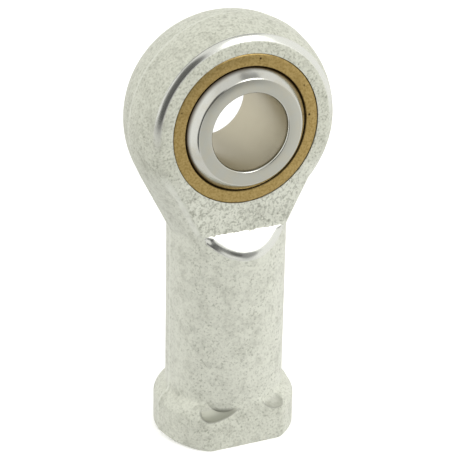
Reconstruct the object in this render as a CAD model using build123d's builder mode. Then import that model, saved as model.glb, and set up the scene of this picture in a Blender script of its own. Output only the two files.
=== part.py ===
from build123d import *
import math
import os

# Female rod end bearing, 3/8 inch size of the common inch series, in millimetres.
# The origin is the centre of the ball. The ball's bore runs along Y, the head is
# at the top of Z and the threaded shank hangs down -Z. The faces square to Y are
# the front (-Y) and the back (+Y).

# Ball: a chromed steel sphere with two flats and a bore for the pin.
BALL_DIAMETER = 18.26
BALL_WIDTH = 12.70
BORE_DIAMETER = 9.525
BORE_CHAMFER = 0.27
BALL_EDGE_CHAMFER = 0.08

# Race: one brass ring, pressed into the head and formed around the ball.
SEAT_CLEARANCE = 0.03
RACE_WALL = 1.14
RACE_MOUTH_CHAMFER = 0.22
STAKE_WIDTH = 1.14
RACE_EDGE_CHAMFER = 0.12

# Head: a flat-faced eye with a crowned rim and a coined bevel around each face.
HEAD_WIDTH = 10.31
HEAD_WALL = 2.40
RIM_DROP = 1.20
BEVEL_WIDTH = 0.80
BEVEL_DEPTH = 0.60
BEVEL_ROUND = 0.60
LIP_CHAMFER = 0.12

# Shank: wider over the forging's parting line than from front to back.
CENTRE_TO_BASE = 41.275
NECK_BELOW_HEAD = 0.90
SHANK_WIDTH = 14.60
SHANK_DEPTH = 14.20
RAMP_ABOVE_NECK = 0.70
RAMP_ANGLE = 50.0

# Collar at the base: a short round boss with two wrench flats.
COLLAR_DIAMETER = 17.46
COLLAR_HEIGHT = 4.45
SHOULDER_HEIGHT = 1.80
SHOULDER_CROWN = 0.20
WRENCH_FLATS = 14.29
FLAT_CORNER_ROUND = 1.60
BASE_EDGE_CHAMFER = 0.50

# Thread: 3/8-24 UNF, drilled at its minor diameter.
THREAD_MAJOR_DIAMETER = 9.525
THREAD_HEIGHT = 0.51
THREAD_DEPTH = 23.80
DRILL_POINT_ANGLE = 118.0
MOUTH_CLEARANCE = 0.35

# Sizes that follow from the ones above.
ball_radius = BALL_DIAMETER / 2
ball_face_radius = math.sqrt(ball_radius**2 - (BALL_WIDTH / 2) ** 2)
bore_radius = BORE_DIAMETER / 2
seat_radius = ball_radius + SEAT_CLEARANCE
half_head = HEAD_WIDTH / 2
seat_mouth_radius = math.sqrt(seat_radius**2 - half_head**2)
race_radius = seat_radius + RACE_WALL
stake_radius = race_radius - STAKE_WIDTH
head_radius = race_radius + HEAD_WALL
bevel_outer_radius = head_radius - RIM_DROP
bevel_inner_radius = bevel_outer_radius - BEVEL_WIDTH
bevel_start = half_head - BEVEL_DEPTH
neck_z = -head_radius - NECK_BELOW_HEAD
base_z = -CENTRE_TO_BASE
ramp_top_z = neck_z + RAMP_ABOVE_NECK
collar_top_z = base_z + COLLAR_HEIGHT
shoulder_top_z = collar_top_z + SHOULDER_HEIGHT
half_width = SHANK_WIDTH / 2
half_depth = SHANK_DEPTH / 2
collar_radius = COLLAR_DIAMETER / 2
lip_radius = stake_radius + LIP_CHAMFER
thread_radius = THREAD_MAJOR_DIAMETER / 2 - THREAD_HEIGHT
thread_end_z = base_z + THREAD_DEPTH
drill_point = thread_radius / math.tan(math.radians(DRILL_POINT_ANGLE / 2))
mouth_radius = THREAD_MAJOR_DIAMETER / 2 + MOUTH_CLEARANCE

# Where a line from the shank's side at the neck touches the head's round outline.
neck_reach = math.hypot(half_width, neck_z)
touch_angle = math.atan2(neck_z, half_width) + math.acos(head_radius / neck_reach)
touch_x = head_radius * math.cos(touch_angle)
touch_z = head_radius * math.sin(touch_angle)
touch_face_x = math.sqrt(bevel_inner_radius**2 - touch_z**2)
touch_y = half_head / math.sqrt(1 - (touch_face_x / touch_x) ** 2)

# The ramps run out past the shank, and the shoulder starts inside it.
ramp_end_y = 1.2 * touch_y
ramp_end_z = ramp_top_z - (ramp_end_y - half_head) * math.tan(math.radians(RAMP_ANGLE))
shoulder_top_radius = half_depth - SHOULDER_CROWN
flat_block_y = WRENCH_FLATS / 2 + COLLAR_DIAMETER / 2


# Ball
with BuildPart() as ball:
    with BuildSketch(Plane.XY) as ball_section:
        with BuildLine():
            Line((bore_radius, -BALL_WIDTH / 2), (ball_face_radius, -BALL_WIDTH / 2))
            ThreePointArc(
                (ball_face_radius, -BALL_WIDTH / 2),
                (ball_radius, 0),
                (ball_face_radius, BALL_WIDTH / 2),
            )
            Line((ball_face_radius, BALL_WIDTH / 2), (bore_radius, BALL_WIDTH / 2))
            Line((bore_radius, BALL_WIDTH / 2), (bore_radius, -BALL_WIDTH / 2))
        make_face()
        bore_corners = ball_section.vertices().group_by(Axis.X)[0]
        chamfer(bore_corners, BORE_CHAMFER)
        face_corners = ball_section.vertices().group_by(Axis.X)[-1]
        chamfer(face_corners, BALL_EDGE_CHAMFER)
    revolve(axis=Axis.Y)
ball.part.label = "ball"

# Race: its outside is a cylinder whose ends are staked inwards, flush with the head.
with BuildPart() as race:
    with BuildSketch(Plane.XY) as race_section:
        with BuildLine():
            Polyline(
                (seat_mouth_radius, -half_head),
                (stake_radius, -half_head),
                (race_radius, -half_head + STAKE_WIDTH),
                (race_radius, half_head - STAKE_WIDTH),
                (stake_radius, half_head),
                (seat_mouth_radius, half_head),
            )
            ThreePointArc(
                (seat_mouth_radius, half_head),
                (seat_radius, 0),
                (seat_mouth_radius, -half_head),
            )
        make_face()
        face_ends = race_section.vertices().filter_by(lambda v: abs(v.Y) > half_head - 0.01)
        mouth_corners = face_ends.group_by(Axis.X)[0]
        stake_corners = face_ends.group_by(Axis.X)[-1]
        chamfer(mouth_corners, RACE_MOUTH_CHAMFER)
        chamfer(stake_corners, RACE_EDGE_CHAMFER)
    revolve(axis=Axis.Y)
race.part.label = "race"

# Housing: the head, neck, shank and collar are one forging.
with BuildPart() as housing:
    # Neck: an oval that widens from the shank's outline to where it touches the rim.
    with BuildSketch(Plane.XY.offset(neck_z)):
        Ellipse(half_width, half_depth)
    with BuildSketch(Plane.XY.offset(touch_z)):
        Ellipse(touch_x, touch_y)
    loft(ruled=True)

    # Shank: an oval column.
    with BuildSketch(Plane.XY.offset(shoulder_top_z)):
        Ellipse(half_width, half_depth)
    extrude(amount=neck_z - shoulder_top_z)

    # Both sides are cut back to the head's width, down to a ramp at the foot of each face.
    with BuildSketch(Plane.YZ):
        for side in (-1, 1):
            with BuildLine():
                Polyline(
                    (side * half_head, touch_z),
                    (side * half_head, ramp_top_z),
                    (side * ramp_end_y, ramp_end_z),
                    (side * ramp_end_y, touch_z),
                    close=True,
                )
            make_face()
    extrude(amount=head_radius, both=True, mode=Mode.SUBTRACT)

    # Head: a disc with a crowned rim, bevelled all round each face.
    with BuildSketch(Plane.XY) as head_section:
        with BuildLine():
            Polyline(
                (bevel_outer_radius, -bevel_start),
                (bevel_inner_radius, -half_head),
                (0, -half_head),
                (0, half_head),
                (bevel_inner_radius, half_head),
                (bevel_outer_radius, bevel_start),
            )
            ThreePointArc(
                (bevel_outer_radius, bevel_start),
                (head_radius, 0),
                (bevel_outer_radius, -bevel_start),
            )
        make_face()
        face_ends = head_section.vertices().filter_by(lambda v: abs(v.Y) > half_head - 0.01)
        fillet(face_ends.group_by(Axis.X)[-1], BEVEL_ROUND)
    revolve(axis=Axis.Y)

    # Collar: round, with a crowned shoulder and two flats for a wrench.
    with BuildSketch(Plane.XZ):
        with BuildLine():
            Polyline(
                (shoulder_top_radius, shoulder_top_z),
                (0, shoulder_top_z),
                (0, base_z),
                (collar_radius - BASE_EDGE_CHAMFER, base_z),
                (collar_radius, base_z + BASE_EDGE_CHAMFER),
                (collar_radius, collar_top_z),
            )
            SagittaArc(
                (collar_radius, collar_top_z), (shoulder_top_radius, shoulder_top_z), SHOULDER_CROWN
            )
        make_face()
    revolve(axis=Axis.Z)
    with BuildSketch(Plane.XY.offset(base_z)):
        with Locations((0, flat_block_y), (0, -flat_block_y)):
            Rectangle(COLLAR_DIAMETER, COLLAR_DIAMETER)
    extrude(amount=shoulder_top_z - base_z, mode=Mode.SUBTRACT)
    flat_corners = housing.edges().filter_by(Axis.Z).filter_by(lambda e: e.center().Z < collar_top_z)
    fillet(flat_corners, FLAT_CORNER_ROUND)

    # Race seat: bored straight, with its lips staked over the race's edges.
    with BuildSketch(Plane.XY):
        with BuildLine():
            Polyline(
                (0, -half_head),
                (lip_radius, -half_head),
                (lip_radius, -half_head + LIP_CHAMFER),
                (race_radius, -half_head + STAKE_WIDTH),
                (race_radius, half_head - STAKE_WIDTH),
                (lip_radius, half_head - LIP_CHAMFER),
                (lip_radius, half_head),
                (0, half_head),
                close=True,
            )
        make_face()
    revolve(axis=Axis.Y, mode=Mode.SUBTRACT)

    # Thread hole: countersunk at the base, with a drill point at its end.
    with BuildSketch(Plane.XZ):
        with BuildLine():
            Polyline(
                (0, base_z),
                (mouth_radius, base_z),
                (thread_radius, base_z + mouth_radius - thread_radius),
                (thread_radius, thread_end_z),
                (0, thread_end_z + drill_point),
                close=True,
            )
        make_face()
    revolve(axis=Axis.Z, mode=Mode.SUBTRACT)
housing.part.label = "housing"

os.makedirs("parts", exist_ok=True)
export_step(housing.part, "parts/housing.step")
export_step(race.part, "parts/race.step")
export_step(ball.part, "parts/ball.step")
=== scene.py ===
import math
from types import SimpleNamespace

import bpy
from mathutils import Matrix, Vector


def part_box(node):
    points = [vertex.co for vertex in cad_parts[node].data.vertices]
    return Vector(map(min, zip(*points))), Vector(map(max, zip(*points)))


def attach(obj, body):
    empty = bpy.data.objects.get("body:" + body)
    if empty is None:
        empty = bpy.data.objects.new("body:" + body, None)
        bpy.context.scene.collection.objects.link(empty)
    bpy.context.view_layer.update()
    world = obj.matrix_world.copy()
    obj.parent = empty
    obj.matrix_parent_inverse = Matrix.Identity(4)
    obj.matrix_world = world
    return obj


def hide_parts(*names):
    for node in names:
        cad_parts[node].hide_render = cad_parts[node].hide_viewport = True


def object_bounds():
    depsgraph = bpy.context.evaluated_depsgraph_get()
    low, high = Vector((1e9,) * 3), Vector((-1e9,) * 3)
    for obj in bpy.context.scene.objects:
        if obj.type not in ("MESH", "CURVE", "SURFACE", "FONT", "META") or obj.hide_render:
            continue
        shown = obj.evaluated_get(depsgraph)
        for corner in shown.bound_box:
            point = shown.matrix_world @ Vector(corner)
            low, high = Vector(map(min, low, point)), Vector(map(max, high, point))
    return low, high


bl_info = {
    "name": "Rod End Bearing",
    "version": (1, 0, 0),
    "blender": (4, 5, 0),
    "location": "View3D > Sidebar > Rod End",
    "description": "Models a female rod end bearing around its packed CAD frame",
    "category": "Add Mesh",
}

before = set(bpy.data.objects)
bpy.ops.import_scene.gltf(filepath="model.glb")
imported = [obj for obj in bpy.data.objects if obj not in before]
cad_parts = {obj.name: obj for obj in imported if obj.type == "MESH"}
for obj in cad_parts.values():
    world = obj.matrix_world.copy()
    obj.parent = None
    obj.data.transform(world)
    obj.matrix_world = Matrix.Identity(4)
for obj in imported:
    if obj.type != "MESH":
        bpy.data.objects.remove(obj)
CAD_LOW, CAD_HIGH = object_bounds()
MM = 0.001
# Points closer than this, in mm, are one point.
MERGE = 1e-4

# The corners of the CAD pieces that the pieces here are fitted to.
HOUSING_LOW, HOUSING_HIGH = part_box("housing")
RACE_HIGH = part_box("race")[1]
BALL_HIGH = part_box("ball")[1]


def length(name, description, default):
    """A size in metres, shown with its unit."""
    return bpy.props.FloatProperty(
        name=name, description=description, default=default, min=0.0,
        subtype="DISTANCE", unit="LENGTH", precision=5,
    )


def angle(name, description, degrees):
    """An angle, shown in degrees."""
    return bpy.props.FloatProperty(
        name=name, description=description, default=math.radians(degrees),
        subtype="ANGLE", unit="ROTATION",
    )


def number(name, description, default):
    """A plain number, such as a lamp's strength."""
    return bpy.props.FloatProperty(name=name, description=description, default=default, precision=3)


def count(name, description, default):
    """A whole number of steps or segments."""
    return bpy.props.IntProperty(name=name, description=description, default=default, min=1)


def colour(name, description, default):
    """A colour as an sRGB hex value."""
    return bpy.props.StringProperty(name=name, description=description, default=default, maxlen=7)


# ---------------------------------------------------------------- sizes and colours


class RODEND_PG_head(bpy.types.PropertyGroup):
    radius: length("Head radius", "From the ball's centre to the top of the rim", HOUSING_HIGH.z)
    half_width: length("Half width", "From the middle of the head to its face", RACE_HIGH.y)
    bevel_outer: length("Bevel outer radius", "Where the rim ends at the bevel", 11.50 * MM)
    bevel_inner: length("Bevel inner radius", "Where the bevel meets the face", 10.70 * MM)
    bevel_depth: length("Bevel depth", "How far the bevel reaches back from the face", 0.60 * MM)
    lip: length("Lip radius", "Radius of the staked lip at the face", 9.28 * MM)
    lip_chamfer: length("Lip chamfer", "Chamfer of the staked lip", 0.12 * MM)
    seat: length("Seat radius", "Radius of the bore that holds the race", RACE_HIGH.x)
    stake: length("Stake width", "How far in the lip is staked over the race", 1.14 * MM)
    parting: length("Parting ridge", "Height of the forging's parting line", 0.06 * MM)
    steps: count("Steps", "Steps around the head", 320)


class RODEND_PG_shank(bpy.types.PropertyGroup):
    half_width: length("Half width", "Half the shank's width, over the parting line", 7.30 * MM)
    half_depth: length("Half depth", "Half the shank's depth, front to back", 7.10 * MM)
    neck: length("Neck drop", "From the ball's centre down to the neck", 13.60 * MM)
    touch_x: length("Touch width", "Half the neck's width where it meets the rim", 11.30 * MM)
    touch_y: length("Touch depth", "Half the neck's depth where it meets the rim", 8.50 * MM)
    touch_drop: length("Touch drop", "From the ball's centre down to where the neck meets the rim", 5.80 * MM)
    ramp_drop: length("Ramp drop", "From the ball's centre down to the top of the ramps", 12.90 * MM)
    ramp_angle: angle("Ramp angle", "Slope of the ramps below the faces", 50.0)
    parting: length("Parting ridge", "Height of the forging's parting line", 0.10 * MM)
    cell: length("Cell size", "Size of the mesh's cells on the forged surface", 0.20 * MM)


class RODEND_PG_collar(bpy.types.PropertyGroup):
    radius: length("Radius", "Radius of the collar", 8.73 * MM)
    height: length("Height", "From the base to the top of the collar's side", 4.35 * MM)
    shoulder: length("Shoulder", "Height of the crowned shoulder above the collar's side", 1.80 * MM)
    crown: length("Crown", "How far the shoulder bulges from a straight cone", 0.34 * MM)
    half_flats: length("Half flats", "From the axis to each wrench flat", 7.145 * MM)
    corner: length("Corner round", "Radius of the flats' upright corners", 1.60 * MM)
    chamfer: length("Base chamfer", "Chamfer of the base's round edge", 0.50 * MM)
    flat_chamfer: length("Flat chamfer", "Chamfer of the base's edge below the flats", 0.20 * MM)


class RODEND_PG_thread(bpy.types.PropertyGroup):
    major: length("Major radius", "Radius of the thread at its root", 4.7625 * MM)
    minor: length("Minor radius", "Radius of the drilled hole", 4.2525 * MM)
    pitch: length("Pitch", "Height of one turn, 24 turns to the inch", 1.0583 * MM)
    root: length("Root width", "Width of the flat at the thread's root", 0.132 * MM)
    depth: length("Depth", "Depth of the threaded hole", 23.80 * MM)
    point: angle("Drill point", "Angle of the drill's point", 118.0)
    mouth: length("Mouth radius", "Radius of the countersunk mouth", 5.1125 * MM)


class RODEND_PG_race(bpy.types.PropertyGroup):
    outer: length("Outer radius", "Radius of the race in its seat", RACE_HIGH.x)
    half_width: length("Half width", "From the middle of the race to its face", RACE_HIGH.y)
    face_outer: length("Face radius", "Outer radius of the staked face", 9.16 * MM)
    bore: length("Bore radius", "Radius of the spherical bore", 9.16 * MM)
    stake: length("Stake width", "How far the staked end is formed inwards", 1.14 * MM)
    mouth: length("Mouth radius", "Radius where the bore opens at the face", 7.66 * MM)
    edge_chamfer: length("Edge chamfer", "Chamfer of the staked end's outer edge", 0.12 * MM)
    steps: count("Steps", "Steps around the race", 256)


class RODEND_PG_ball(bpy.types.PropertyGroup):
    radius: length("Radius", "Radius of the ball", BALL_HIGH.x)
    half_width: length("Half width", "From the ball's centre to its flat face", BALL_HIGH.y)
    bore: length("Bore radius", "Radius of the hole for the pin", 4.7625 * MM)
    bore_chamfer: length("Bore chamfer", "Chamfer of the bore's ends", 0.27 * MM)
    edge_chamfer: length("Edge chamfer", "Chamfer between the ball and its flat faces", 0.08 * MM)
    steps: count("Steps", "Steps around the ball", 256)


class RODEND_PG_finish(bpy.types.PropertyGroup):
    zinc: colour("Zinc", "Zinc plating on the forged steel", "#EBECE3")
    zinc_mid: colour("Zinc between grains", "Zinc plating in the low spots of the forged skin", "#DBDCD1")
    zinc_dark: colour("Zinc in the pits", "Zinc plating where the forged skin is pitted", "#A8A99B")
    # This lighter colour also paints the highlight on the neck's edges beside the faces.
    zinc_rubbed_and_highlit: colour("Rubbed zinc", "Zinc plating on the high edges", "#F4F5EE")
    # Painted shade: this darker colour stands for the shade in the scoops' hollows.
    zinc_scoop_shade: colour("Scooped zinc", "Zinc plating in the scoops at the flats", "#ABACA0")
    zinc_band: colour("Coined zinc", "Zinc plating on the coined bevel and ramps", "#DFE0DA")
    brass: colour("Brass", "Face of the brass race", "#B79F68")
    brass_dark: colour("Tarnished brass", "Darker patches of the brass race", "#9A824E")
    # This grease colour also paints the shade in the gap around the ball, on the race's wall and on the ball
    # beside it.
    grease_and_gap_shade: colour("Grease", "Old grease in the gap and in the brass's pits", "#3A2C1C")
    chrome: colour("Chrome", "Chrome plating of the ball", "#CBCBC5")
    ground: colour("Ground steel", "Flat faces of the ball", "#BABAB1")
    bore: colour("Bore steel", "Reamed bore of the ball", "#C4BDA8")
    floor: colour("Floor", "Plain pale floor", "#FFFFFF")


class RODEND_PG_stage(bpy.types.PropertyGroup):
    azimuth: angle("Azimuth", "Camera's turn to the left of the front", 24.93)
    elevation: angle("Elevation", "Camera's height above the bore", 24.67)
    roll: angle("Roll", "Camera's turn about its own axis", 1.15)
    distance: length("Distance", "From the ball's centre to the camera's plane", 245.60 * MM)
    side: length("Side", "Camera's place to the right of the ball", 0.08 * MM)
    drop: length("Drop", "Camera's place below the ball", 13.56 * MM)
    lens: number("Lens", "Focal length in millimetres on a 36 mm sensor", 163.44)
    room: colour("Room", "Colour of the white room", "#FFFFFC")
    softbox_size: length("Softbox size", "Side of the square softbox", 180 * MM)
    softbox_distance: length("Softbox distance", "From the ball's centre to the softbox", 500 * MM)
    softbox_power: number("Softbox power", "Power of the softbox in watts", 0.45)
    sky: number("Sky", "Brightness of the white room", 0.93)
    dimmest: number("Dimmest", "Brightness of the room's darkest corner", 0.13)


# ---------------------------------------------------------------- modelling helpers


def in_mm(group):
    """A group's values with its sizes in millimetres, the unit that pieces are modelled in."""
    values = {}
    for key in group.bl_rna.properties.keys():
        if key not in ("rna_type", "name"):
            value = getattr(group, key)
            unit = getattr(group.bl_rna.properties[key], "unit", "NONE")
            values[key] = value / MM if unit == "LENGTH" else value
    return SimpleNamespace(**values)


def pick_none():
    """Leaves edit mode, and deselects every object."""
    if bpy.context.mode != "OBJECT":
        bpy.ops.object.mode_set(mode="OBJECT")
    bpy.ops.object.select_all(action="DESELECT")


def pick(obj):
    """Makes obj the only selected object, and the active one."""
    pick_none()
    obj.select_set(True)
    bpy.context.view_layer.objects.active = obj


def edit(obj, kind="VERT"):
    """Opens obj in edit mode with nothing selected."""
    pick(obj)
    bpy.ops.object.mode_set(mode="EDIT")
    bpy.ops.mesh.select_mode(type=kind)
    bpy.ops.mesh.select_all(action="DESELECT")


def select(obj, test, kind="VERT"):
    """Opens obj in edit mode with the vertices or faces selected whose place and normal pass the test."""
    edit(obj, kind)
    bpy.ops.object.mode_set(mode="OBJECT")
    found = 0
    for item in obj.data.vertices if kind == "VERT" else obj.data.polygons:
        place = item.co if kind == "VERT" else item.center
        item.select = test(place, item.normal)
        found += item.select
    bpy.ops.object.mode_set(mode="EDIT")
    if not found:
        raise RuntimeError(f"nothing to select on {obj.name}")


def draw(name, points):
    """A chain of edges through the points: a small plane merged to a point, and extruded along them."""
    pick_none()
    bpy.ops.mesh.primitive_plane_add(size=1.0, location=points[0])
    obj = bpy.context.active_object
    obj.name = obj.data.name = name
    bpy.ops.object.transform_apply(location=True, rotation=True, scale=True)
    bpy.ops.object.mode_set(mode="EDIT")
    bpy.ops.mesh.select_all(action="SELECT")
    bpy.ops.mesh.merge(type="CENTER")
    for start, end in zip(points, points[1:]):
        move = tuple(b - a for a, b in zip(start, end))
        bpy.ops.mesh.extrude_vertices_move(TRANSFORM_OT_translate={"value": move})
    return obj


def tidy_normals(obj):
    """Merges doubles and turns every face outwards."""
    edit(obj)
    bpy.ops.mesh.select_all(action="SELECT")
    bpy.ops.mesh.remove_doubles(threshold=MERGE)
    bpy.ops.mesh.normals_make_consistent(inside=False)
    bpy.ops.object.mode_set(mode="OBJECT")


def turn(name, profile, axis, steps):
    """A closed solid of revolution. The profile holds (radius, height) pairs along the Y or Z axis."""
    if axis == "Y":
        points, direction = [(r, h, 0.0) for r, h in profile], (0, 1, 0)
    else:
        points, direction = [(r, 0.0, h) for r, h in profile], (0, 0, 1)
    obj = draw(name, points)
    bpy.ops.mesh.select_all(action="SELECT")
    bpy.ops.mesh.spin(steps=steps, angle=2 * math.pi, center=(0, 0, 0), axis=direction)
    tidy_normals(obj)
    return obj


def prism(name, outline, depth):
    """A closed solid: the outline filled and extruded by the depth vector."""
    obj = draw(name, outline)
    bpy.ops.mesh.select_all(action="SELECT")
    bpy.ops.mesh.edge_face_add()
    bpy.ops.mesh.select_all(action="SELECT")
    bpy.ops.mesh.extrude_region_move(TRANSFORM_OT_translate={"value": depth})
    tidy_normals(obj)
    return obj


def arc(centre, radius, start, end, steps):
    """Points on an arc, as (radius, height) pairs, from one angle to another in degrees."""
    turns = [math.radians(start + (end - start) * i / steps) for i in range(steps + 1)]
    return [(centre[0] + radius * math.cos(t), centre[1] + radius * math.sin(t)) for t in turns]


def apply(obj, kind, **settings):
    """Adds a modifier with its settings and applies it."""
    pick(obj)
    modifier = obj.modifiers.new(kind.title(), kind)
    for key, value in settings.items():
        setattr(modifier, key, value)
    bpy.ops.object.modifier_apply(modifier=modifier.name)
    return obj


def combine(obj, other, operation):
    """Joins, cuts or keeps the overlap of two solids, and removes the second one."""
    apply(obj, "BOOLEAN", operation=operation, object=other, solver="MANIFOLD")
    bpy.data.objects.remove(other)
    if len(obj.data.polygons) < 4:
        raise RuntimeError(f"{operation} left nothing of {obj.name}")
    return obj


def dress(obj, material, body, node, crease=math.radians(38)):
    """Gives a finished piece its real size, shading and material, and places it on the frame."""
    edit(obj)
    bpy.ops.mesh.select_all(action="SELECT")
    bpy.ops.transform.resize(value=(MM, MM, MM), center_override=(0, 0, 0))
    pick(obj)
    bpy.ops.object.shade_smooth_by_angle(angle=crease)
    obj.data.materials.clear()
    obj.data.materials.append(material)
    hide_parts(node)
    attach(obj, body)


# The way to the softbox, and to its glow in the room.
SOFTBOX_WAY = (0.38, -0.69, 0.62)

# Each soft light of the room: the way to it, its half angle in degrees, and how much it adds.
ROOM_LIGHTS = (
    (SOFTBOX_WAY, 21, 0.80),
    ((0.38, -0.29, 0.88), 17, -0.50),
    ((0.38, -0.02, 0.92), 12, 0.25),
    ((0.38, 0.60, 0.70), 30, -0.22),
    ((0.30, -0.94, 0.12), 21, -0.62),
    ((-0.05, -0.98, 0.18), 17, -0.60),
    ((0.90, -0.30, 0.10), 60, 0.12),
    ((-0.95, 0.10, 0.20), 60, 0.22),
    ((0.38, 0.61, -0.69), 42, -0.60),
    ((-0.38, -0.80, 0.46), 20, -0.85),
    ((-0.56, -0.79, 0.12), 23, -0.85),
    ((-0.68, -0.66, -0.30), 22, -0.80),
)
# The middle share of a room light that has its full strength.
FULL_SHARE = 0.35

# Scoops in the shoulder at the front flat's two ends: centre and half sizes in mm, and how strongly each is
# smoothed and darkened with painted shade.
SCOOPS = (
    ((-4.6, -7.9, -34.13), (4.20, 2.60, 3.00), 1.0),
    ((4.1, -7.9, -34.00), (2.50, 2.10, 2.90), 0.65),
)

# Where the finishes change, in mm. A mask over a span is 0 at its first value and 1 at its second.
SPANS = {
    # Heights from the ball's centre.
    "band_fade": (-2.0, 3.8),
    "below_head": (-3.5, -6.5),
    "face_foot": (-5.0, -9.0),
    "neck": (-13.6, -12.6),
    "above_shank": (-14.0, -12.8),
    "ramp_foot": (-16.4, -16.0),
    "scoop_top": (-35.6, -36.2),
    "above_collar": (-36.8, -34.5),
    # Distances from the parting plane.
    "parting_line": (0.22, 0.08),
    "flank": (4.9, 3.0),
    "neck_edge_inside": (4.30, 4.60),
    "neck_edge_outside": (5.14, 4.90),
    "on_face": (5.00, 5.10),
    "up_to_face": (5.4, 5.2),
    # The bevel, from its inner radius and from where it starts behind the face.
    "bevel_inside": (-0.06, 0.20),
    "bevel_start": (0.0, 0.04),
    # The ramp, from its plane, from its top and from the level of the face.
    "ramp_plane": (-0.62, -0.44),
    "ramp_top": (0.32, 0.12),
    "proud_of_face": (0.02, 0.10),
    # The painted shade on the gap's wall and on the ball, from the race's face.
    "gap_wall": (-0.04, -0.14),
    "ball_gap_shade": (0.45, -0.05),
    # The ball, from its bore and from its flat face.
    "bore_wall": (0.03, 0.01),
    "off_bore": (0.8, 1.0),
    "ball_face": (-0.02, -0.01),
}


# ---------------------------------------------------------------- material helpers


def linear(text):
    """The linear colour of an sRGB hex value."""
    parts = [int(text[i:i + 2], 16) / 255 for i in (1, 3, 5)]
    return tuple(c / 12.92 if c <= 0.04045 else ((c + 0.055) / 1.055) ** 2.4 for c in parts) + (1.0,)


def node(owner, kind, inputs=None, **settings):
    """Adds a shader node with its settings. An input is a value, a hex colour, an output, or a node whose
    first output in use is taken."""
    tree = owner.node_tree
    made = tree.nodes.new("ShaderNode" + kind)
    for key, value in settings.items():
        setattr(made, key, value)
    for key, value in (inputs or {}).items():
        if isinstance(value, bpy.types.Node):
            value = next(output for output in value.outputs if output.enabled)
        if isinstance(value, bpy.types.NodeSocket):
            tree.links.new(value, made.inputs[key])
        else:
            made.inputs[key].default_value = linear(value) if isinstance(value, str) else value
    return made


def new_material(name):
    """An empty node material."""
    material = bpy.data.materials.new(name)
    material.use_nodes = True
    material.node_tree.nodes.clear()
    return material


def per_mm(size):
    """The scale that makes a pattern's cells this many millimetres wide."""
    return 1.0 / (size * MM)


def over(value, span, base=0.0):
    """The inputs for a mask over a named span, counted from a base in metres."""
    start, end = SPANS[span]
    return {"Value": value, "From Min": base + start * MM, "From Max": base + end * MM}


SOFT = {"interpolation_type": "SMOOTHSTEP"}
TIMES = {"operation": "MULTIPLY"}
PLUS = {"operation": "ADD"}
LESS = {"operation": "SUBTRACT"}
FUSED = {"operation": "MULTIPLY_ADD"}
MOST = {"operation": "MAXIMUM"}
ROOT = {"operation": "SQRT"}
SIZE = {"operation": "ABSOLUTE"}
COLOURS = {"data_type": "RGBA"}

# The Mix node's two colour inputs: what is there, and what covers it.
UNDER, COAT = 6, 7


def from_bore(m, x, z):
    """The distance from the axis of the ball's bore."""
    squared = node(m, "Math", {0: x, 1: x, 2: node(m, "Math", {0: z, 1: z}, **TIMES)}, **FUSED)
    return node(m, "Math", {0: squared}, **ROOT)


def coined_zones(m, head, shank, place, x, away, z):
    """A mask over the surfaces that the dies struck smooth: the bevels around the faces, and the ramps."""
    bevel = node(m, "MapRange", over(from_bore(m, x, z), "bevel_inside", head.bevel_inner), **SOFT)
    bevel_start = head.half_width - head.bevel_depth
    for span in (over(away, "bevel_start", bevel_start), over(z, "band_fade")):
        bevel = node(m, "Math", {0: bevel, 1: node(m, "MapRange", span, **SOFT)}, **TIMES)
    # Distance out from the ramp's plane: the rounded rim lies up to half a millimetre behind it.
    sine, cosine = math.sin(shank.ramp_angle), math.cos(shank.ramp_angle)
    offset = shank.ramp_drop * cosine - head.half_width * sine
    plane = node(m, "Math", {0: away, 1: sine, 2: offset}, **FUSED)
    plane = node(m, "Math", {0: z, 1: cosine, 2: plane}, **FUSED)
    # Its upper edge is ragged.
    ragged = node(m, "TexNoise", {"Vector": place, "Scale": per_mm(0.45), "Detail": 1.0})
    edge = node(m, "Math", {0: ragged, 1: 0.55 * MM, 2: z}, **FUSED)
    ramp = node(m, "MapRange", over(plane, "ramp_plane"), **SOFT)
    for span in (over(away, "proud_of_face", head.half_width), over(edge, "ramp_top", -shank.ramp_drop),
                 over(z, "ramp_foot")):
        ramp = node(m, "Math", {0: ramp, 1: node(m, "MapRange", span, **SOFT)}, **TIMES)
    return node(m, "Math", {0: bevel, 1: ramp}, **MOST)


def scooped_zones(m, x, y, z):
    """A mask over the scoops at the ends of the flats, which smooths them and paints shade in them. The back
    repeats the front, turned half round.
    """
    side = node(m, "Math", {0: y}, operation="SIGN")
    turned = node(m, "Math", {0: side, 1: -1.0}, **TIMES)
    across = node(m, "Math", {0: x, 1: turned}, **TIMES)
    ahead = node(m, "Math", {0: y, 1: turned}, **TIMES)
    front = node(m, "CombineXYZ", {0: across, 1: ahead, 2: z})
    smooth = 0.0
    for centre, size, dull in SCOOPS:
        fitted = {"Vector": front, "Location": Vector(centre) * MM, "Scale": Vector(size) * MM}
        local = node(m, "Mapping", fitted, vector_type="TEXTURE")
        reach = node(m, "VectorMath", {0: local}, operation="LENGTH")
        inside = {"Value": reach, "From Min": 1.09, "From Max": 1.02, "To Max": dull}
        smooth = node(m, "Math", {0: smooth, 1: node(m, "MapRange", inside, **SOFT)}, **MOST)
    top = node(m, "MapRange", over(z, "scoop_top"), **SOFT)
    return node(m, "Math", {0: smooth, 1: top}, **TIMES)


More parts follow.
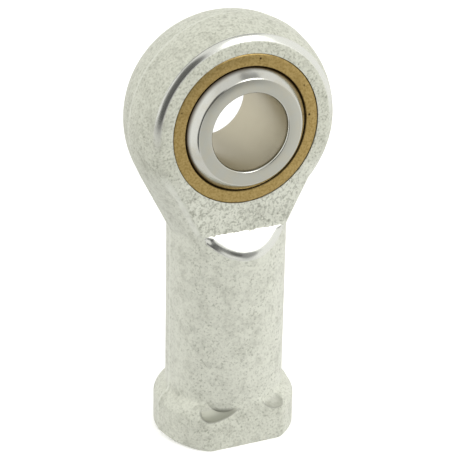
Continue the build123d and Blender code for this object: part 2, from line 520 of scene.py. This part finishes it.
def zinc_plated_forging(finish, head, shank):
    """Drop-forged steel under bright zinc plating: a pale warm grey, matt and finely grained where the die's
    skin shows, and smooth and glossy where the metal was coined."""
    m = new_material("zinc_plated_forging")
    place = node(m, "TexCoord").outputs["Object"]
    x, y, z = node(m, "SeparateXYZ", {0: place}).outputs
    away = node(m, "Math", {0: y}, **SIZE)
    coined = coined_zones(m, head, shank, place, x, away, z)
    scooped_and_shaded = scooped_zones(m, x, y, z)

    # Grain of the blasted skin, about 0.15 mm across, drawn a little coarser than it is so that it shows.
    grain = {"Vector": place, "Scale": per_mm(0.30), "Detail": 2.5, "Roughness": 0.62, "Distortion": 0.3}
    grain = node(m, "TexNoise", grain)
    # Coarse, worm-like pitting, about 0.3 mm across, which is strongest below the race.
    worms = {"Vector": place, "Scale": per_mm(0.46), "Detail": 2.0, "Roughness": 0.5, "Distortion": 0.9}
    worms = node(m, "TexNoise", worms)
    # Patches from the forging scale: broad ones a few millimetres across, and stains half that size.
    patches = node(m, "TexNoise", {"Vector": place, "Scale": per_mm(3.2), "Detail": 3.0, "Roughness": 0.6})
    stains = node(m, "TexNoise", {"Vector": place, "Scale": per_mm(1.5), "Detail": 4.0, "Roughness": 0.7})

    # The metal flowed along the parting line, so the sides of the neck and shank are smoother.
    low = node(m, "MapRange", over(z, "below_head"), **SOFT)
    flank = node(m, "MapRange", over(away, "flank"), **SOFT)
    flank = node(m, "Math", {0: flank, 1: low}, **TIMES)
    rough_skin = node(m, "Math", {0: flank, 1: -0.55, 2: 1.0}, **FUSED)
    # The pitting keeps off the flanks and the shank, and grows from beside the race down to the ramps.
    above = node(m, "MapRange", over(z, "above_shank"), **SOFT)
    level = node(m, "MapRange", over(away, "up_to_face"), **SOFT)
    foot = node(m, "MapRange", over(z, "face_foot"), **SOFT)
    pitted = node(m, "Math", {0: 1.0, 1: flank}, **LESS)
    for mask in (level, foot, above):
        pitted = node(m, "Math", {0: pitted, 1: mask}, **TIMES)
    pitted = node(m, "Math", {0: pitted, 1: 0.34, 2: 0.08}, **FUSED)

    # The shank is painted lighter than the head, and the collar in between.
    shaft = node(m, "MapRange", {**over(z, "above_collar"), "To Min": 0.30, "To Max": 0.60})
    shaft = node(m, "Math", {0: low, 1: shaft}, **TIMES)
    # Low spots are greyer than the high ones, and more so on the flat faces and in the worn patches.
    worn = node(m, "MapRange", {"Value": patches, "From Min": 0.36, "From Max": 0.64}, **SOFT)
    dulled = node(m, "MapRange", over(away, "on_face"), **SOFT)
    dulled = node(m, "Math", {0: dulled, 1: above, 2: worn}, **FUSED)
    dulled = node(m, "Math", {0: low, 1: 0.6, 2: dulled}, **FUSED)
    dulled = node(m, "Math", {0: dulled, 1: 0.25, 2: 0.12}, **FUSED)
    pits = node(m, "MapRange", {"Value": grain, "From Min": 0.46, "From Max": 0.28}, **SOFT)
    for mask in (dulled, rough_skin):
        pits = node(m, "Math", {0: pits, 1: mask}, **TIMES)
    stained = {"Value": stains, "From Min": 0.44, "From Max": 0.76, "To Max": 0.30}
    stained = node(m, "MapRange", stained, **SOFT)
    # The pitting has dark hollows and bright crests.
    hollows = node(m, "MapRange", {"Value": worms, "From Min": 0.50, "From Max": 0.34}, **SOFT)
    hollows = node(m, "Math", {0: hollows, 1: pitted}, **TIMES)
    crests = node(m, "MapRange", {"Value": worms, "From Min": 0.56, "From Max": 0.70}, **SOFT)
    crests = node(m, "Math", {0: crests, 1: pitted}, **TIMES)

    # Lighter high edges: the parting line, painted lighter, and the neck's edges beside the faces, whose
    # lighter colour is a painted highlight.
    line = node(m, "MapRange", over(away, "parting_line"), **SOFT)
    line = node(m, "Math", {0: line, 1: 0.45}, **TIMES)
    edge = node(m, "MapRange", over(away, "neck_edge_inside"), **SOFT)
    for span in (over(away, "neck_edge_outside"), over(z, "neck")):
        edge = node(m, "Math", {0: edge, 1: node(m, "MapRange", span, **SOFT)}, **TIMES)
    for share in (low, 0.65):
        edge = node(m, "Math", {0: edge, 1: share}, **TIMES)
    rubbed_and_highlit = node(m, "Math", {0: line, 1: edge}, **MOST)

    speckle = node(m, "MapRange", {"Value": grain, "From Min": 0.30, "From Max": 0.62}, **SOFT)
    tone = node(m, "Mix", {"Factor": speckle, UNDER: finish.zinc_mid, COAT: finish.zinc}, **COLOURS)
    coats = (
        (shaft, finish.zinc_rubbed_and_highlit), (pits, finish.zinc_dark), (stained, finish.zinc_dark),
        # The lighter colour on the neck's edges is a painted highlight.
        (hollows, finish.zinc_dark), (crests, finish.zinc_rubbed_and_highlit), (rubbed_and_highlit, finish.zinc_rubbed_and_highlit),
        # The scoops' darker colour is painted shade.
        (scooped_and_shaded, finish.zinc_scoop_shade), (coined, finish.zinc_band),
    )
    for mask, shade in coats:
        tone = node(m, "Mix", {"Factor": mask, UNDER: tone, COAT: shade}, **COLOURS)

    # The pitting stands out in the bump, and the lighter high edges, the scoops and the coined metal are
    # calm.
    deep = node(m, "Math", {0: pitted, 1: 1.3, 2: 0.25}, **FUSED)
    height = node(m, "Math", {0: worms, 1: deep, 2: grain}, **FUSED)
    calm = node(m, "Math", {0: rubbed_and_highlit, 1: 0.6}, **TIMES)
    for mask in (coined, scooped_and_shaded):
        calm = node(m, "Math", {0: calm, 1: mask}, **MOST)
    strength = node(m, "Math", {0: calm, 1: -0.96, 2: 1.0}, **FUSED)
    for share in (rough_skin, 0.50):
        strength = node(m, "Math", {0: strength, 1: share}, **TIMES)
    bump = node(m, "Bump", {"Height": height, "Strength": strength, "Distance": 0.05 * MM})
    rough = 0.84
    for mask, change in ((rubbed_and_highlit, -0.15), (scooped_and_shaded, -0.30), (coined, -0.67)):
        rough = node(m, "Math", {0: mask, 1: change, 2: rough}, **FUSED)
    skin = {"Base Color": tone, "Metallic": 1.0, "Roughness": rough, "Normal": bump}
    node(m, "OutputMaterial", {"Surface": node(m, "BsdfPrincipled", skin)})
    return m


def satin_brass(finish, race):
    """Machined brass, slightly tarnished: a satin gold face with fine brown mottling and a few specks."""
    m = new_material("satin_brass")
    place = node(m, "TexCoord").outputs["Object"]
    y = node(m, "SeparateXYZ", {0: place}).outputs["Y"]
    away = node(m, "Math", {0: y}, **SIZE)
    # Mottling about 0.25 mm across, and stains about 2 mm across.
    mottle = node(m, "TexNoise", {"Vector": place, "Scale": per_mm(0.26), "Detail": 3.0, "Roughness": 0.6})
    stains = node(m, "TexNoise", {"Vector": place, "Scale": per_mm(1.8), "Detail": 3.0, "Roughness": 0.6})
    bright = node(m, "MapRange", {"Value": mottle, "From Min": 0.30, "From Max": 0.66}, **SOFT)
    stained = {"Value": stains, "From Min": 0.52, "From Max": 0.72, "To Max": 0.55}
    stained = node(m, "MapRange", stained, **SOFT)
    # Specks: the centres of a few cells, about 2 mm apart, are pitted and hold grease.
    cells = node(m, "TexVoronoi", {"Vector": place, "Scale": per_mm(2.3)}).outputs["Distance"]
    speck = node(m, "MapRange", {"Value": cells, "From Min": 0.10, "From Max": 0.05}, **SOFT)
    # Painted shade darkens the wall of the gap around the ball, in the grease colour.
    inside = node(m, "MapRange", over(away, "gap_wall", race.half_width), **SOFT)
    tone = node(m, "Mix", {"Factor": bright, UNDER: finish.brass_dark, COAT: finish.brass}, **COLOURS)
    for mask, shade in ((stained, finish.brass_dark), (speck, finish.grease_and_gap_shade), (inside, finish.grease_and_gap_shade)):
        tone = node(m, "Mix", {"Factor": mask, UNDER: tone, COAT: shade}, **COLOURS)
    bump = node(m, "Bump", {"Height": mottle, "Strength": 0.4, "Distance": 0.02 * MM})
    skin = {"Base Color": tone, "Metallic": 1.0, "Roughness": 0.40, "Normal": bump}
    node(m, "OutputMaterial", {"Surface": node(m, "BsdfPrincipled", skin)})
    return m


def chromed_ball_steel(finish, ball, race):
    """Hard chrome over bearing steel: a polished ball with finely ground flat faces and a duller bore."""
    m = new_material("chromed_ball_steel")
    place = node(m, "TexCoord").outputs["Object"]
    x, y, z = node(m, "SeparateXYZ", {0: place}).outputs
    away = node(m, "Math", {0: y}, **SIZE)
    across = from_bore(m, x, z)
    face = node(m, "MapRange", over(away, "ball_face", ball.half_width), **SOFT)
    bore = node(m, "MapRange", over(across, "bore_wall", ball.bore), **SOFT)
    # Lay of the grinding, in rings about 0.1 mm wide around the bore, drawn twice as coarse so that it shows.
    along = node(m, "Math", {0: y, 1: 0.2}, **TIMES)
    rings = node(m, "CombineXYZ", {0: across, 1: along})
    lay = node(m, "TexNoise", {"Vector": rings, "Scale": per_mm(0.22), "Detail": 3.0, "Roughness": 0.6})
    # Faint clouds in the plating, 1 to 2 mm across.
    cloud = node(m, "TexNoise", {"Vector": place, "Scale": per_mm(1.6), "Detail": 4.0, "Roughness": 0.65})
    dull = {"Value": cloud, "From Min": 0.40, "From Max": 0.70, "To Max": 0.35}
    dull = node(m, "MapRange", dull, **SOFT)
    # Painted shade, with a painted brown reflection of the brass, thickens on the ball towards the gap below
    # the race's face.
    gap_shade_on_ball = node(m, "MapRange", over(away, "ball_gap_shade", race.half_width), **SOFT)
    for share in (node(m, "MapRange", over(across, "off_bore", ball.bore), **SOFT), 0.9):
        gap_shade_on_ball = node(m, "Math", {0: gap_shade_on_ball, 1: share}, **TIMES)
    tone = finish.chrome
    coats = ((face, finish.ground), (bore, finish.bore), (dull, finish.bore), (gap_shade_on_ball, finish.grease_and_gap_shade))
    for mask, shade in coats:
        tone = node(m, "Mix", {"Factor": mask, UNDER: tone, COAT: shade}, **COLOURS)
    rough = 0.10
    for mask, change in ((face, 0.16), (bore, 0.26), (cloud, 0.10)):
        rough = node(m, "Math", {0: mask, 1: change, 2: rough}, **FUSED)
    depth = 0.02
    for mask, change in ((face, 0.25), (bore, 0.5)):
        depth = node(m, "Math", {0: mask, 1: change, 2: depth}, **FUSED)
    bump = node(m, "Bump", {"Height": lay, "Strength": depth, "Distance": 0.01 * MM})
    skin = {"Base Color": tone, "Metallic": 1.0, "Roughness": rough, "Normal": bump}
    node(m, "OutputMaterial", {"Surface": node(m, "BsdfPrincipled", skin)})
    return m


def pale_floor(finish):
    """A plain painted floor: pale and matt, with a little glow so that it stays even."""
    m = new_material("pale_floor")
    paint = {"Base Color": finish.floor, "Roughness": 0.9, "Emission Color": finish.floor,
             "Emission Strength": 0.30}
    node(m, "OutputMaterial", {"Surface": node(m, "BsdfPrincipled", paint)})
    return m


def studio_room(stage):
    """A soft white room: bright above and to the front right, dim on the front left."""
    w = bpy.data.worlds.new("studio_room")
    w.use_nodes = True
    w.node_tree.nodes.clear()
    way = node(w, "TexCoord").outputs["Generated"]
    total = stage.sky
    for toward, width, amount in ROOM_LIGHTS:
        facing = {0: way, 1: Vector(toward).normalized()}
        facing = node(w, "VectorMath", facing, operation="DOT_PRODUCT")
        edge = math.cos(math.radians(width))
        full = 1.0 - FULL_SHARE * (1.0 - edge)
        glow = {"Value": facing, "From Min": edge, "From Max": full, "To Max": amount}
        total = node(w, "Math", {0: node(w, "MapRange", glow, **SOFT), 1: total}, **PLUS)
    total = node(w, "Math", {0: total, 1: stage.dimmest}, **MOST)
    room = node(w, "Background", {"Color": stage.room, "Strength": total})
    node(w, "OutputWorld", {"Surface": room})
    return w


# ---------------------------------------------------------------- housing


def head_disc(head):
    """The head as a solid disc: crowned rim, parting ridge, and a coined bevel around each face."""
    rim_steps, bevel_steps = 22, 12
    half, outer, inner = head.half_width, head.bevel_outer, head.bevel_inner
    bevel_start = half - head.bevel_depth
    peak = head.radius - head.parting
    drop = peak - outer
    crown = (bevel_start ** 2 + drop ** 2) / (2 * drop)
    reach = math.degrees(math.asin(bevel_start / crown))
    turns = [math.radians(reach * (1 - i / rim_steps)) for i in range(rim_steps)]
    rim = [(peak - crown + crown * math.cos(t), crown * math.sin(t)) for t in turns]
    # The crown stops where the parting ridge rises from it, and the ridge has a rounded top.
    ridge_foot = 0.25
    rim = [(r, h) for r, h in rim if h > ridge_foot]
    ridge = [(peak + 0.004, 0.16), (peak + 0.75 * head.parting, 0.07), (head.radius, 0.0)]
    # The die left a fine ledge, a few hundredths of a millimetre high, where the rim meets the bevel.
    ledge = [(outer - 0.07, bevel_start + 0.05), (outer - 0.01, bevel_start + 0.03)]
    # The bevel bulges and turns softly into the face.
    start, end = Vector((outer - 0.06, bevel_start + 0.06)), Vector((inner - 0.08, half))
    knee = Vector((outer - 0.42, half - 0.19))
    bevel = []
    for i in range(bevel_steps + 1):
        t = 1 - i / bevel_steps
        bevel.append(tuple((1 - t) ** 2 * start + 2 * t * (1 - t) * knee + t * t * end))
    side = [(0.0, half)] + bevel + ledge + rim + ridge
    return turn("forged_housing", side + [(r, -h) for r, h in reversed(side[:-1])], "Y", head.steps)


def neck_and_shank(shank, collar, head, low):
    """An oval column that widens to the rim, cut back to the head's width with a ramp below each face."""
    sides = 192
    base = low + collar.height
    pick_none()
    bpy.ops.mesh.primitive_cylinder_add(vertices=sides, radius=1.0, depth=1.0)
    column = bpy.context.active_object
    edit(column)
    bpy.ops.mesh.select_all(action="SELECT")
    tall = -shank.neck - base
    bpy.ops.transform.resize(value=(shank.half_width, shank.half_depth, tall))
    bpy.ops.transform.translate(value=(0, 0, base + tall / 2))
    select(column, lambda p, n: p.z > -shank.neck - MERGE)
    widened = (shank.touch_x / shank.half_width, shank.touch_y / shank.half_depth, 1)
    bpy.ops.mesh.extrude_region_move(TRANSFORM_OT_translate={"value": (0, 0, shank.neck - shank.touch_drop)})
    bpy.ops.transform.resize(value=widened)
    bpy.ops.mesh.extrude_region_move(TRANSFORM_OT_translate={"value": (0, 0, shank.touch_drop)})
    tidy_normals(column)
    # Each cut reaches past the column on every side.
    above, past = 5, 1.5
    for side in (-1, 1):
        face, far = side * head.half_width, side * shank.touch_y * past
        foot = -shank.ramp_drop - (abs(far) - head.half_width) * math.tan(shank.ramp_angle)
        reach = 2 * shank.touch_x
        outline = [(-reach / 2, face, above), (-reach / 2, face, -shank.ramp_drop),
                   (-reach / 2, far, foot), (-reach / 2, far, above)]
        combine(column, prism("side_cut", outline, (reach, 0, 0)), "DIFFERENCE")
    return column


def collar_block(collar, shank, low):
    """The collar: an upright prism with two rounded flats, inside a turned shoulder."""
    corner_steps, side_steps, shoulder_steps, turned_steps = 8, 64, 14, 192
    r, flat, c = collar.radius, collar.half_flats, collar.corner
    spread = math.sqrt((r - c) ** 2 - (flat - c) ** 2)
    turned = math.degrees(math.atan2(flat - c, spread))
    right = arc((spread, flat - c), c, 90, turned, corner_steps)
    right += arc((0, 0), r, turned, -turned, side_steps)[1:-1]
    right += arc((spread, c - flat), c, -turned, -90, corner_steps)
    left = [(-x, -y) for x, y in right]
    # The block starts below the base, which is cut square later.
    below = low - 1
    top = low + collar.height + collar.shoulder
    outline = [(x, y, below) for x, y in right + left]
    block = prism("collar", outline, (0, 0, top - below))
    # The shoulder's curve bulges from the line between its two ends.
    start = Vector((r, low + collar.height))
    chord = Vector((shank.half_depth - collar.crown, top)) - start
    out = Vector((chord.y, -chord.x)).normalized()
    if out.x < 0:
        out = -out
    turns = [i / shoulder_steps for i in range(shoulder_steps + 1)]
    curve = [tuple(start + chord * t + out * collar.crown * 4 * t * (1 - t)) for t in turns]
    # Below the shoulder the turned solid is wide enough to leave the block's sides alone.
    wide = r * 1.2
    profile = [(0.0, below - 1.0), (wide, below - 1.0), (wide, start.y - 0.3), (r + 0.02, start.y - 0.2)]
    profile += curve + [(0.0, top)]
    return combine(block, turn("shoulder", profile, "Z", turned_steps), "INTERSECT")


def ellipsoid(name, centre, size):
    """A smooth solid with the given centre and half sizes."""
    pick_none()
    bpy.ops.mesh.primitive_uv_sphere_add(segments=96, ring_count=48, radius=1.0, scale=size, location=centre)
    bpy.ops.object.transform_apply(location=True, rotation=True, scale=True)
    obj = bpy.context.active_object
    obj.name = name
    return obj


def forged_skin(body, head, shank):
    """Gives the body one skin with soft inner corners, rounded ramp rims and a raised parting line."""
    apply(body, "REMESH", mode="VOXEL", voxel_size=shank.cell)
    apply(body, "SMOOTH", factor=0.5, iterations=2)
    # The ramps' outer rims are well rounded.
    out = head.half_width + 0.2
    top, foot = -shank.ramp_drop + 0.2, -shank.ramp_drop - 3.3
    select(body, lambda p, n: abs(p.y) > out and foot < p.z < top)
    bpy.ops.mesh.vertices_smooth(factor=0.5, repeat=50)
    # The parting line stands up along both sides.
    half_ridge = 0.16
    select(body, lambda p, n: abs(p.y) < half_ridge and abs(n.y) < 0.4 and abs(n.z) < 0.75)
    bpy.ops.transform.shrink_fatten(value=shank.parting)
    bpy.ops.object.mode_set(mode="OBJECT")


def cut_scoops(body, shank):
    """Scoops out the shoulder at the flats' ends, and leaves the shank's own column whole."""
    clear = 0.03
    centre, half_height = (0, 0, -34.0), 20.0
    column = (shank.half_width + clear, shank.half_depth + clear, half_height)
    for side in (-1, 1):
        for (x, y, z), size, _ in SCOOPS:
            scoop = ellipsoid("scoop", (side * x, side * y, z), size)
            combine(scoop, ellipsoid("kept_shank", centre, column), "DIFFERENCE")
            combine(body, scoop, "DIFFERENCE")


def square_base(body, collar, low):
    """Cuts the base square, and chamfers its edge less below the flats than below the round sides."""
    edit(body)
    bpy.ops.mesh.select_all(action="SELECT")
    cut = low + collar.chamfer
    bpy.ops.mesh.bisect(plane_co=(0, 0, cut), plane_no=(0, 0, 1), clear_inner=True)
    select(body, lambda p, n: p.z < cut + MERGE)
    shrink = 1 - collar.chamfer / collar.radius
    flat_shrink = 1 - collar.flat_chamfer / collar.half_flats
    bpy.ops.mesh.select_mode(type="EDGE")
    bpy.ops.mesh.extrude_region_move(TRANSFORM_OT_translate={"value": (0, 0, -collar.chamfer)})
    bpy.ops.transform.resize(value=(shrink, flat_shrink, 1), center_override=(0, 0, low))
    bpy.ops.mesh.edge_face_add()


def level_faces(body, head):
    """Levels the faces between the head and the ramps with the head's own."""
    for side in (-1, 1):
        plane = side * head.half_width
        select(body, lambda p, n: abs(p.y - plane) < 0.01 and n.y * side > 0.995)
        bpy.ops.transform.resize(value=(1, 0, 1), center_override=(0, plane, 0))
    bpy.ops.object.mode_set(mode="OBJECT")


def race_seat(head):
    """A cutter for the bore that holds the race, with its staked lips."""
    half = head.half_width
    outside, steps = half + 1.0, 256
    profile = [(0.0, outside), (head.lip, outside), (head.lip, half),
               (head.lip, half - head.lip_chamfer), (head.seat, half - head.stake)]
    return turn("seat", profile + [(r, -h) for r, h in reversed(profile)], "Y", steps)


def threaded_hole(thread, low):
    """Cutters for the tapped hole: the screw's outside, the drilled hole and the countersunk mouth."""
    # The screw starts below the base, and its flanks slope by 30 degrees.
    spare_turns, turn_steps, drill_steps = 1.5, 64, 96
    flank = (thread.major - thread.minor) * math.tan(math.radians(30))
    crest = thread.pitch - thread.root - 2 * flank
    points = [(thread.minor, 0.0), (thread.minor, crest), (thread.major, crest + flank),
              (thread.major, crest + flank + thread.root), (thread.minor, thread.pitch)]
    start = low - spare_turns * thread.pitch
    screw = draw("screw", [(r, 0.0, start + h) for r, h in points])
    bpy.ops.object.mode_set(mode="OBJECT")
    turns = round((thread.depth + spare_turns * thread.pitch) / thread.pitch) - 1
    apply(screw, "SCREW", angle=2 * math.pi, screw_offset=thread.pitch, iterations=turns,
          steps=turn_steps, render_steps=turn_steps, use_merge_vertices=True, merge_threshold=MERGE)
    edit(screw)
    bpy.ops.mesh.select_all(action="SELECT")
    bpy.ops.mesh.remove_doubles(threshold=MERGE)
    # Its two open ends are closed, the lower one first.
    for upper in (False, True):
        bpy.ops.mesh.select_all(action="DESELECT")
        bpy.ops.mesh.select_non_manifold()
        bpy.ops.object.mode_set(mode="OBJECT")
        for v in screw.data.vertices:
            if (v.co.z > low + thread.depth / 2) != upper:
                v.select = False
        for e in screw.data.edges:
            e.select = e.select and all(screw.data.vertices[i].select for i in e.vertices)
        bpy.ops.object.mode_set(mode="EDIT")
        bpy.ops.mesh.edge_face_add()
    tidy_normals(screw)
    # The drill is a little narrower than the thread's crests, and the countersink runs past them.
    core, past = thread.minor - 0.005, 0.2
    end = low + thread.depth
    tip = end + thread.minor / math.tan(thread.point / 2)
    drill = turn("drill", [(0.0, low - 2), (core, low - 2), (core, end), (0.0, tip)], "Z", drill_steps)
    inside = low + thread.mouth - thread.minor + past
    sink = [(0.0, low - 1.0), (thread.mouth + 1.0, low - 1.0), (thread.minor - past, inside), (0.0, inside)]
    return [screw, drill, turn("sink", sink, "Z", drill_steps)]


class RODEND_OT_housing(bpy.types.Operator):
    """Forged housing with its head, neck, shank, collar and threaded hole"""

    bl_idname = "rodend.housing"
    bl_label = "Housing"

    def execute(self, context):
        scene = context.scene
        groups = (scene.rodend_head, scene.rodend_shank, scene.rodend_collar, scene.rodend_thread)
        head, shank, collar, thread = (in_mm(group) for group in groups)
        low = HOUSING_LOW.z / MM
        body = neck_and_shank(shank, collar, head, low)
        combine(body, collar_block(collar, shank, low), "UNION")
        forged_skin(body, head, shank)
        cut_scoops(body, shank)
        square_base(body, collar, low)
        level_faces(body, head)
        housing = combine(head_disc(head), body, "UNION")
        combine(housing, race_seat(head), "DIFFERENCE")
        for cutter in threaded_hole(thread, low):
            combine(housing, cutter, "DIFFERENCE")
        zinc = zinc_plated_forging(scene.rodend_finish, scene.rodend_head, scene.rodend_shank)
        dress(housing, zinc, "shank_body", "housing")
        return {"FINISHED"}


# ---------------------------------------------------------------- race and ball


class RODEND_OT_race(bpy.types.Operator):
    """Brass race staked into the head"""

    bl_idname = "rodend.race"
    bl_label = "Race"

    def execute(self, context):
        scene = context.scene
        race = in_mm(scene.rodend_race)
        half, bore, chamfer = race.half_width, race.bore, race.edge_chamfer
        start = math.degrees(math.acos(race.mouth / bore))
        bore_steps = 48
        inner = arc((0, 0), bore, -start, start, bore_steps)
        # The bore's mouth is broken by a small chamfer, and the face's outer edge by a steeper one.
        mouth_width, mouth_depth = 0.13, 0.14
        outer = [(race.mouth, half - mouth_depth), (race.mouth + mouth_width, half),
                 (race.face_outer - chamfer, half),
                 (race.face_outer + chamfer / 2, half - chamfer / 2 * 1.5), (race.outer, half - race.stake)]
        profile = inner + outer + [(r, -h) for r, h in reversed(outer)]
        piece = turn("brass_race", profile + [profile[0]], "Y", race.steps)
        brass = satin_brass(scene.rodend_finish, scene.rodend_race)
        dress(piece, brass, "shank_body", "race")
        return {"FINISHED"}


class RODEND_OT_ball(bpy.types.Operator):
    """Chromed ball with its bore"""

    bl_idname = "rodend.ball"
    bl_label = "Ball"

    def execute(self, context):
        scene = context.scene
        ball = in_mm(scene.rodend_ball)
        half, radius, chamfer = ball.half_width, ball.radius, ball.bore_chamfer
        face = math.sqrt(radius ** 2 - half ** 2)
        start = math.degrees(math.asin((half - ball.edge_chamfer) / radius))
        ball_steps, corner_steps = 72, 8
        outer = arc((0, 0), radius, start, -start, ball_steps)
        # The bore's edge is rounded, deeper than it is wide.
        deep = 2.2 * chamfer
        quarter = [math.radians(90 * i / corner_steps) for i in range(corner_steps + 1)]
        corner = [(ball.bore + chamfer * (1 - math.cos(t)), half - deep * (1 - math.sin(t))) for t in quarter]
        corner.append((face - ball.edge_chamfer, half))
        profile = corner + outer + [(r, -h) for r, h in reversed(corner)]
        piece = turn("chromed_ball", profile + [profile[0]], "Y", ball.steps)
        chrome = chromed_ball_steel(scene.rodend_finish, scene.rodend_ball, scene.rodend_race)
        dress(piece, chrome, "ball", "ball")
        return {"FINISHED"}


# ---------------------------------------------------------------- stage


class RODEND_OT_stage(bpy.types.Operator):
    """Pale floor, soft studio light and the camera"""

    bl_idname = "rodend.stage"
    bl_label = "Stage"

    def execute(self, context):
        scene = context.scene
        stage = scene.rodend_stage
        a, e, r = stage.azimuth, stage.elevation, stage.roll
        back = Vector((-math.sin(a) * math.cos(e), -math.cos(a) * math.cos(e), math.sin(e)))
        level = Vector((math.cos(a), -math.sin(a), 0))
        upright = back.cross(level)
        right = math.cos(r) * level + math.sin(r) * upright
        up = math.cos(r) * upright - math.sin(r) * level
        place = back * stage.distance + right * stage.side - up * stage.drop
        lens = bpy.data.cameras.new("camera")
        lens.lens = stage.lens
        lens.sensor_width = 36.0
        lens.clip_start, lens.clip_end = 0.01, 50.0
        camera = bpy.data.objects.new("camera", lens)
        camera.matrix_world = Matrix.Translation(place) @ Matrix((right, up, back)).transposed().to_4x4()
        scene.collection.objects.link(camera)
        scene.camera = camera

        # A wide floor under the base, in metres, which the glossy metal doesn't mirror.
        floor_size = 4.0
        pick_none()
        bpy.ops.mesh.primitive_plane_add(size=floor_size)
        floor = context.active_object
        floor.name = "floor"
        edit(floor)
        bpy.ops.mesh.select_all(action="SELECT")
        bpy.ops.transform.translate(value=(0, 0, CAD_LOW.z))
        bpy.ops.object.mode_set(mode="OBJECT")
        floor.data.materials.append(pale_floor(scene.rodend_finish))
        floor.visible_glossy = False

        # A square softbox above and to the right of the camera.
        softbox = bpy.data.lights.new("softbox", "AREA")
        softbox.shape = "SQUARE"
        softbox.size = stage.softbox_size
        softbox.energy = stage.softbox_power
        lamp = bpy.data.objects.new("softbox", softbox)
        toward = Vector(SOFTBOX_WAY).normalized()
        lamp.location = toward * stage.softbox_distance
        lamp.rotation_euler = toward.to_track_quat("Z", "Y").to_euler()
        lamp.visible_camera = False
        scene.collection.objects.link(lamp)

        scene.world = studio_room(stage)
        scene.view_settings.view_transform = "Standard"
        return {"FINISHED"}


class RODEND_PT_panel(bpy.types.Panel):
    """Lists the pieces of the rod end"""

    bl_idname = "RODEND_PT_panel"
    bl_label = "Rod End Bearing"
    bl_space_type = "VIEW_3D"
    bl_region_type = "UI"
    bl_category = "Rod End"

    def draw(self, context):
        for operator in OPERATORS:
            self.layout.operator(operator.bl_idname)


GROUPS = {
    "rodend_head": RODEND_PG_head, "rodend_shank": RODEND_PG_shank, "rodend_collar": RODEND_PG_collar,
    "rodend_thread": RODEND_PG_thread, "rodend_race": RODEND_PG_race, "rodend_ball": RODEND_PG_ball,
    "rodend_finish": RODEND_PG_finish, "rodend_stage": RODEND_PG_stage,
}
OPERATORS = (RODEND_OT_housing, RODEND_OT_race, RODEND_OT_ball, RODEND_OT_stage)
CLASSES = (*GROUPS.values(), *OPERATORS, RODEND_PT_panel)


def register():
    """Registers the classes, and gives each scene its groups of sizes."""
    for cls in CLASSES:
        bpy.utils.register_class(cls)
    for name, group in GROUPS.items():
        setattr(bpy.types.Scene, name, bpy.props.PointerProperty(type=group))


def unregister():
    """Undoes register."""
    for name in GROUPS:
        delattr(bpy.types.Scene, name)
    for cls in reversed(CLASSES):
        bpy.utils.unregister_class(cls)


def main():
    """Makes every piece and the stage."""
    register()
    bpy.ops.rodend.housing()
    bpy.ops.rodend.race()
    bpy.ops.rodend.ball()
    bpy.ops.rodend.stage()


if __name__ == "__main__":
    main()
